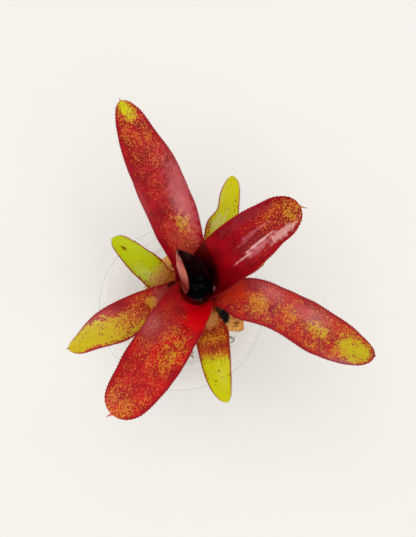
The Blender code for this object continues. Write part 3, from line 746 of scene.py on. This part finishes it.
grow_leaf(
    dict(name="leaf_back_small", heading=71, sheath=11, throat_height=24, throat_rise=48,
         reach=101, side=2, tip_height=40, tip_rise=-6, tip_yaw=19, half_width=11, widest=0.45,
         neck=0.6, bluntness=1.4, twist=-1, spine=1.5,
         swells=((1, 0.15, -1.0), (1, 0.46, 2.6), (1, 0.6, -1.8), (1, 0.78, 1.8),
                 (1, 0.92, 1.0), (-1, 0.75, -0.6), (-1, 0.93, 0.8))),
    6,
    leaf_skin("back_small_leaf", cover=((-0.5, 0.5), (0.3, 0.12), (1.0, 0.0)), seed=8.0,
              rim=(165, 50, 32), gloss=0.6, blotches=((0.34, 0.85, 0.12, 0.3, 0.35),),
              stains_and_painted_light=((0.55, 0.02, 0.12, 0.09, 0.7, 0.3, (224, 224, 170)),
                      (0.47, 0.45, 0.1, 0.25, 0.7, 0.35, (214, 216, 160)),
                      (0.7, -0.5, 0.01, 0.05, 0.4, 0.8, (90, 60, 14)),
                      (0.75, -0.55, 0.01, 0.05, 0.4, 0.8, (90, 60, 14)),
                      (0.65, -0.6, 0.01, 0.05, 0.4, 0.8, (96, 56, 14)))),
    GREEN_BACK)
grow_leaf(
    dict(name="leaf_front_small", heading=293, sheath=12, throat_height=18, throat_rise=40,
         reach=94.5, side=-9.5, tip_height=14, tip_rise=-28, tip_yaw=11, half_width=13.75,
         widest=0.25, neck=0.8, bluntness=1.6, twist=0, spine=1.5, swells=((1, 0.22, 1.2),)),
    7,
    leaf_skin("front_small_leaf",
              cover=((-0.5, 0.7), (0.06, 0.6), (0.16, 0.84), (0.26, 0.6), (0.38, 0.78), (0.47, 0.4),
                     (0.56, 0.06), (1.0, 0.0)),
              red=(172, 48, 26), deep=(130, 44, 26), seed=9.0, rim=(150, 44, 20),
              stains_and_painted_light=((0.04, 0.2, 0.1, 0.7, 0.6, 0.7, (230, 166, 96)),
                      (0.62, 0.1, 0.012, 0.06, 0.4, 0.8, (70, 40, 12)),
                      (0.72, -0.3, 0.012, 0.06, 0.4, 0.8, (70, 40, 12)),
                      (0.7, 0.3, 0.01, 0.05, 0.4, 0.8, (80, 44, 12))), gloss=0.3),
    GREEN_BACK)
grow_leaf(
    dict(name="leaf_right_small", heading=25.5, sheath=8, throat_height=9, throat_rise=35,
         reach=68, side=-1.5, tip_height=18, tip_rise=-10, tip_yaw=-2, half_width=6.25,
         widest=0.45, neck=0.75, bluntness=1.3, twist=0, spine=1),
    9,
    leaf_skin("right_small_leaf", cover=((-0.5, 0.6), (0.3, 0.2), (1.0, 0.05)), seed=10.0,
              rim=(165, 50, 32)),
    GREEN_BACK)

# A dead leaf base left on the crown, low beside the hole in the cork: brown, papery and
# curled, with what was left of its blade shrunk to a scrap. Its browns are darkened into
# painted shade, so that it reads as a dark gap beside the cork.
grow_leaf(
    dict(name="leaf_dry", heading=327, sheath=8, base_radius=13.8, base_height=1.0,
         throat_radius=19, throat_height=4, throat_rise=24, reach=29, side=1, tip_height=4,
         tip_rise=-20, tip_yaw=5, half_width=5, widest=0.2, neck=0.9, bluntness=2.0, twist=12,
         spine=1, trough=1.1),
    10,
    # browns darkened into painted shade of a dark gap
    leaf_skin("dry_leaf", cover=((-0.5, 0.8), (1.0, 0.6)), red=(56, 34, 22),
              deep=(40, 24, 14), green=(104, 74, 46), orange=(104, 70, 42),
              rim=(50, 32, 20), seed=11.0, gloss=0.2),
    leaf_back("dry_leaf_back", ((0.0, (90, 62, 40)), (1.0, (104, 72, 46))),
              (150, 120, 90), rim=(80, 50, 30)))


# Rain water held in the cup by the sheaths of the inner leaves: a dark, still pool with a
# little dust on it, whose edge creeps up the leaves.
WATER_RINGS = ((2.5, 179.2), (7.1, 182.5), (8.4, 188.0), (8.9, 194.0), (8.4, 193.7))


def ring_edges(ring):
    """The edges round one ring of points."""
    return list({edge for vert in ring for edge in vert.link_edges})


bm = bmesh.new()
loops = []
for radius, height in WATER_RINGS:
    ring = bmesh.ops.create_circle(bm, segments=48, radius=radius * MM)["verts"]
    bmesh.ops.translate(bm, verts=ring, vec=(0, 0, height * MM))
    loops.append(ring_edges(ring))
for lower, upper in zip(loops, loops[1:]):
    bmesh.ops.bridge_loops(bm, edges=lower + upper)
bmesh.ops.contextual_create(bm, geom=loops[0])
bmesh.ops.contextual_create(bm, geom=loops[-1])
bmesh.ops.recalc_face_normals(bm, faces=bm.faces)
cup_water, mesh = add_piece(bm, "cup_water")
mesh.set_sharp_from_angle(angle=radians(50))
water, tree, shader = new_material("cup_water")
place = in_metres(tree)
dust = span(tree, noise_in(tree, place, 260.0, 4.0), 0.62, 0.72)
colour = mix(tree, dust, shade(10, 13, 14), shade(48, 36, 38))
fill(shader, {"Base Color": colour, "Roughness": 0.04, "IOR": 1.33, "Specular IOR Level": 0.18})
mesh.materials.append(water)
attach(cup_water, "root")
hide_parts("tank_water")


# The vase: a thin blown globe of clear glass with a small flat foot and a short collar.
# The cork closes it, and no water stands in it.
GLOBE_RADIUS = 79
GLOBE_CENTRE = 70
GLASS_WALL = 3
GLASS_FLOOR = 5
MOUTH_RADIUS = 38.2
COLLAR_TOP = 141
LIP_RADIUS = 1.5
FOOT = [(35.6, 0.15), (34.5, 0.0), (0.0, 0.0)]


def globe_arc(radius, start_height, end_height, segments):
    """Points on the globe's circle between two heights, evenly spaced by angle."""
    start = atan2(start_height - GLOBE_CENTRE, sqrt(radius**2 - (start_height - GLOBE_CENTRE) ** 2))
    end = atan2(end_height - GLOBE_CENTRE, sqrt(radius**2 - (end_height - GLOBE_CENTRE) ** 2))
    angles = [start + (end - start) * i / segments for i in range(segments + 1)]
    return [(radius * cos(a), GLOBE_CENTRE + radius * sin(a)) for a in angles]


def turned(profile, steps):
    """A closed shape turned from a profile of radius and height in millimetres."""
    bm = bmesh.new()
    points = [bm.verts.new((radius * MM, 0.0, height * MM)) for radius, height in profile]
    edges = [bm.edges.new(pair) for pair in zip(points, points[1:])]
    bmesh.ops.spin(bm, geom=points + edges, axis=(0, 0, 1), cent=(0, 0, 0), angle=2 * pi,
                   steps=steps, use_merge=True)
    bmesh.ops.remove_doubles(bm, verts=bm.verts, dist=0.00001)
    bmesh.ops.recalc_face_normals(bm, faces=bm.faces)
    return bm


inner_radius = GLOBE_RADIUS - GLASS_WALL
collar_radius = MOUTH_RADIUS + GLASS_WALL
inner_top = GLOBE_CENTRE + sqrt(inner_radius**2 - MOUTH_RADIUS**2)
outer_top = GLOBE_CENTRE + sqrt(GLOBE_RADIUS**2 - collar_radius**2)
lip = [(MOUTH_RADIUS + LIP_RADIUS - LIP_RADIUS * cos(pi * i / 8),
        COLLAR_TOP - LIP_RADIUS + LIP_RADIUS * sin(pi * i / 8)) for i in range(9)]
profile = [(0.0, GLASS_FLOOR + 0.6)] + globe_arc(inner_radius, GLASS_FLOOR, inner_top, 40) + lip
profile += globe_arc(GLOBE_RADIUS, outer_top, 0.8, 44) + FOOT
globe, mesh = add_piece(turned(profile, 128), "glass_globe")
mesh.set_sharp_from_angle(angle=radians(50))
glass, tree, shader = new_material("clear_glass")
place = in_metres(tree)
film = span(tree, noise_in(tree, place, 30.0, 5.0), 0.55, 0.75, 0.0, 0.03)
fill(shader, {"Base Color": shade(253, 252, 251), "Roughness": film, "Transmission Weight": 1.0,
              "IOR": 1.46, "Normal": relief(tree, noise_in(tree, place, 14.0), 0.02, 0.0005)})
# light reaches the table through the glass
through = node(tree, "ShaderNodeBsdfTransparent", {"Color": shade(254, 253, 252)}).outputs[0]
shadow = node(tree, "ShaderNodeLightPath").outputs["Is Shadow Ray"]
blend = node(tree, "ShaderNodeMixShader", {0: shadow, 1: shader.outputs[0], 2: through}).outputs[0]
fill(tree.nodes["Material Output"], {"Surface": blend})
mesh.materials.append(glass)
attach(globe, "root")
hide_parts("vase")


# The stopper: one block of natural cork, knife-cut to rough flats above the collar and
# to a round plug below it, with a funnel-shaped hole for the stem.
HEAD_BOTTOM = COLLAR_TOP + 0.35
CORK_SEGMENTS = 168
# heading and distance from the axis of each knife cut
CORK_CUTS = ((0, 46), (38, 45), (76, 43), (125, 41), (172, 40), (218, 41), (-90, 30))
TOP_ROUNDING = 0.8
PLUG_BOTTOM = 126
PLUG_RADIUS = MOUTH_RADIUS - 0.35
HOLE_TOP_RADIUS = 24.5
HOLE_RIM_RADIUS = HOLE_TOP_RADIUS + 0.8
HOLE_TOP_OFFSET = 10.5
HOLE_TOP_HEADING = radians(-32)
HOLE_BOTTOM_RADIUS = 10.8
SOCKET_RADIUS = HOLE_BOTTOM_RADIUS + 0.2
SOCKET_DEPTH = 4
FUNNEL_HEIGHT = 20
FUNNEL_STEPS = 14
PIT_DEPTH = 0.9
# in metres, the middle of a patch of painted shade beside the stem hole
PAINTED_SHADE_PLACE = (0.0265, -0.018, 0.148)

hole_x = HOLE_TOP_OFFSET * cos(HOLE_TOP_HEADING)
hole_y = HOLE_TOP_OFFSET * sin(HOLE_TOP_HEADING)


def cork_outline(heading):
    """Distance from the axis to the nearest knife cut in one direction."""
    degrees = heading * 180 / pi
    return min(distance / cos(radians(degrees - cut)) for cut, distance in CORK_CUTS
               if cos(radians(degrees - cut)) > 0.3)


def knife_cut(inset):
    """The radius in any direction of a ring that runs just inside the knife cuts."""
    return lambda heading: cork_outline(heading) - inset


def bored(radius):
    """The radius in any direction of a round ring."""
    return lambda heading: radius


def top_between(share):
    """The radius of a ring on the top, from the hole's rim at 0 to the cut edge at 1."""
    return lambda heading: (HOLE_RIM_RADIUS * (1 - share)
                            + (cork_outline(heading) - TOP_ROUNDING) * share)


def cork_ring(bm, height, radius_at, toward_hole=0.0):
    """One closed loop of edges round the axis, or round the middle of the hole's top at 1."""
    ring = bmesh.ops.create_circle(bm, segments=CORK_SEGMENTS, radius=1.0)["verts"]
    for vert in ring:
        heading = atan2(vert.co.y, vert.co.x)
        radius = radius_at(heading)
        vert.co = Vector((hole_x * toward_hole + radius * cos(heading),
                          hole_y * toward_hole + radius * sin(heading), height)) * MM
    return ring_edges(ring)


# the rings go down the outside, in under the plug, up the hole and out over the top
rings = [(CORK_TOP, knife_cut(TOP_ROUNDING)), (CORK_TOP - 0.3, knife_cut(0.25))]
rings += [(CORK_TOP - 0.9 - step, knife_cut(0.0)) for step in (0.0, 1.6, 3.2, 4.8, 6.4)]
rings += [(HEAD_BOTTOM, knife_cut(0.2))]
rings += [(HEAD_BOTTOM - step, bored(PLUG_RADIUS - 0.1)) for step in range(0, 16, 2)]
rings += [(PLUG_BOTTOM + 0.3, bored(PLUG_RADIUS - 0.5)), (PLUG_BOTTOM, bored(PLUG_RADIUS - 1.2)),
          (PLUG_BOTTOM, bored(24.0)), (PLUG_BOTTOM, bored(SOCKET_RADIUS)),
          (PLUG_BOTTOM + SOCKET_DEPTH, bored(SOCKET_RADIUS))]
for step in range(1, FUNNEL_STEPS):
    share = step / FUNNEL_STEPS
    radius = SOCKET_RADIUS + (HOLE_TOP_RADIUS - HOLE_BOTTOM_RADIUS) * share
    rings.append((PLUG_BOTTOM + SOCKET_DEPTH + FUNNEL_HEIGHT * share, bored(radius), share))
rings += [(CORK_TOP - 0.2, bored(HOLE_TOP_RADIUS + 0.1), 1.0), (CORK_TOP, bored(HOLE_RIM_RADIUS), 1.0)]
rings += [(CORK_TOP, top_between(share), 1 - share) for share in (0.4, 0.7)]
bm = bmesh.new()
loops = [cork_ring(bm, *ring) for ring in rings]
for loop, following in zip(loops, loops[1:] + loops[:1]):
    bmesh.ops.bridge_loops(bm, edges=loop + following)
bmesh.ops.recalc_face_normals(bm, faces=bm.faces)
# pits and torn grains, cut inwards so that the block keeps its size
bm.normal_update()
pits = [max(noise.noise(vert.co * 420), 0.0) + 0.6 * max(noise.noise(vert.co * 1100), 0.0)
        for vert in bm.verts]
for vert, depth in zip(bm.verts, pits):
    vert.co -= vert.normal * depth * PIT_DEPTH * MM
stopper, mesh = add_piece(bm, "cork_stopper")
cork, tree, shader = new_material("natural_cork")
place = in_metres(tree)
grains = node(tree, "ShaderNodeTexVoronoi", {"Vector": place, "Scale": 520.0}).outputs
patches = noise_in(tree, place, 90.0, 6.0)
pores = noise_in(tree, place, 420.0, 3.0)
grain_tone = node(tree, "ShaderNodeSeparateColor", {0: grains["Color"]}).outputs[0]
colour = mix(tree, grain_tone, shade(255, 204, 116), shade(240, 142, 58))
colour = mix(tree, span(tree, patches, 0.52, 0.68), colour, shade(178, 92, 36))
colour = mix(tree, span(tree, pores, 0.62, 0.7), colour, shade(84, 48, 28))
# painted shade: a near-black patch beside the stem hole, standing for a deep gap in shadow
gap_shade = node(tree, "ShaderNodeVectorMath", {0: place, 1: PAINTED_SHADE_PLACE}, operation="DISTANCE")
gap_shade = calc(tree, "MULTIPLY_ADD", patches, 0.006, gap_shade.outputs["Value"])
colour = mix(tree, span(tree, gap_shade, 0.0095, 0.012), shade(26, 18, 14), colour)
height = calc(tree, "SUBTRACT", pores, grains["Distance"])
fill(shader, {"Base Color": colour, "Roughness": 0.85, "Normal": relief(tree, height, 0.6, 0.0006)})
mesh.materials.append(cork)
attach(stopper, "root")
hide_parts("cork")


# The stem: a woody crown that the leaves grow round, and a shank that goes down through
# the cork to a swollen foot. Old leaf scars ring it.
STEM_FOOT = 112.0
STEM_PROFILE = ((0.0, 178.0), (2.2, 177.6), (3.65, 176.4), (14.0, 153.0), (13.0, 150.0),
                (11.05, 134.0), (10.45, 129.5), (10.45, 125.0), (11.2, 122.5), (11.9, 120.0),
                (11.2, 117.0), (9.5, 114.4), (4.8, 112.4), (0.0, STEM_FOOT))
SCAR_PITCH = 3.1
SCAR_DEPTH = 0.25
BARK_PITCH = 0.8

profile = []
for (radius, height), (next_radius, next_height) in zip(STEM_PROFILE, STEM_PROFILE[1:]):
    steps = max(1, round(hypot(next_radius - radius, next_height - height) / BARK_PITCH))
    for step in range(steps):
        share = step / steps
        wide = radius + (next_radius - radius) * share
        tall = height + (next_height - height) * share
        # each scar is a shallow step in the bark, and the corners near the axis have none
        scar = SCAR_DEPTH * (((tall - STEM_FOOT) / SCAR_PITCH) % 1.0) if 0 < share or wide > 3 else 0.0
        profile.append((max(wide - scar, 0.0), tall))
profile.append(STEM_PROFILE[-1])
bm = turned(profile, 72)
bm.normal_update()
for vert in bm.verts:
    vert.co -= vert.normal * (0.25 + 0.25 * noise.noise(vert.co * 500)) * MM
stem, mesh = add_piece(bm, "woody_stem")
bark, tree, shader = new_material("stem_bark")
place = in_metres(tree)
sockets = {"Vector": place, "Scale": 55.0, "Distortion": 3.0, "Detail": 3.0}
scars = node(tree, "ShaderNodeTexWave", sockets, bands_direction="Z").outputs["Fac"]
fibre = noise_in(tree, place, 300.0, 5.0)
colour = mix(tree, scars, shade(70, 46, 32), shade(118, 84, 56))
colour = mix(tree, fibre, colour, shade(48, 32, 24))
fill(shader, {"Base Color": colour, "Roughness": 0.8, "Normal": relief(tree, fibre, 0.5, 0.0005)})
mesh.materials.append(bark)
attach(stem, "root")
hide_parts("stem")


# Wiry brown roots hang in the empty vase from the foot of the stem. They are dry and
# tough, a couple of millimetres thick, with finer rootlets branching off.
ROOT_START = 12.45
ROOT_START_HEIGHT = 120
# points along a root, the first that carries a rootlet, and those from one to the next
ROOT_POINTS = 60
FIRST_ROOTLET = 14
ROOTLET_GAP = 9
ROOTLETS = 5
# heading, reach, height of the tip and half thickness of each root
ROOTS = ((-81, 49, 88, 1.25), (-39, 56, 92, 1.1), (8, 40, 58, 0.9), (55, 47, 80, 0.9),
         (100, 36, 44, 0.9), (146, 48, 74, 0.9), (192, 40, 52, 0.9), (235, 50, 66, 0.9))

fibre_skin, tree, shader = new_material("root_fibre")
place = in_metres(tree)
dry = span(tree, noise_in(tree, place, 160.0, 5.0), 0.38, 0.62)
colour = mix(tree, dry, shade(78, 56, 40), shade(222, 198, 162))
fill(shader, {"Base Color": colour, "Roughness": 0.75, "Normal": relief(tree, dry, 0.5, 0.0004)})


def bundle(strands):
    """Tubes along several lines of point and radius, as one mesh with closed ends."""
    curve = bpy.data.curves.new("strands", "CURVE")
    curve.dimensions = "3D"
    curve.bevel_depth = 1.0
    curve.bevel_resolution = 2
    curve.use_fill_caps = True
    for strand in strands:
        spline = curve.splines.new("POLY")
        spline.points.add(len(strand) - 1)
        for slot, (point, radius) in zip(spline.points, strand):
            slot.co = (*point, 1.0)
            slot.radius = radius
    guide = bpy.data.objects.new("strands", curve)
    bpy.context.scene.collection.objects.link(guide)
    bpy.context.view_layer.update()
    tubes = bpy.data.meshes.new_from_object(guide.evaluated_get(bpy.context.evaluated_depsgraph_get()))
    bm = bmesh.new()
    bm.from_mesh(tubes)
    bpy.data.objects.remove(guide)
    bpy.data.meshes.remove(tubes)
    bmesh.ops.remove_doubles(bm, verts=bm.verts, dist=0.000001)
    bmesh.ops.recalc_face_normals(bm, faces=bm.faces)
    return bm


for index, (heading, reach, end_height, thick) in enumerate(ROOTS):
    turn = radians(heading)
    outward = Vector((cos(turn), sin(turn), 0.0))
    aside = Vector((-sin(turn), cos(turn), 0.0))
    path = interpolate_bezier(
        (outward * ROOT_START + Vector((0, 0, ROOT_START_HEIGHT))) * MM,
        (outward * (ROOT_START + 0.5 * (reach - ROOT_START)) + Vector((0, 0, 121))) * MM,
        (outward * (reach + 4) + Vector((0, 0, 114))) * MM,
        (outward * reach + Vector((0, 0, end_height))) * MM, ROOT_POINTS)
    main = []
    for step, point in enumerate(path):
        share = step / (ROOT_POINTS - 1)
        wave = 2.2 * smooth_step(share * 2) * sin(7 * share + 2.1 * index)
        kink = noise.noise_vector(Vector((share * 9, index * 5.3, 0))) * 0.5 * smooth_step(share * 4)
        point = point + aside * wave * MM + kink * MM
        radius = thick * (1 - 0.5 * share) * MM * (1 + 0.12 * noise.noise(point * 900))
        main.append((point, radius))
    strands = [main]
    for branch in range(ROOTLETS):
        origin = main[FIRST_ROOTLET + branch * ROOTLET_GAP][0]
        side = aside * (1 if (branch + index) % 2 else -1)
        length = 6.5 + 4 * noise.noise(Vector((branch * 1.7, index * 2.9, 4.0)))
        fall = Vector((0, 0, -1))
        rootlet = []
        for t in [step / 8 for step in range(9)]:
            reached = (side * 0.55 * t + fall * 0.8 * t * t - outward * 0.3 * t) * length * MM
            rootlet.append((origin + reached, (0.42 - 0.26 * t) * MM))
        strands.append(rootlet)
    root, mesh = add_piece(bundle(strands), f"wiry_root_{index + 1}")
    mesh.materials.append(fibre_skin)
    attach(root, "root")
    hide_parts(f"root_{index + 1}")
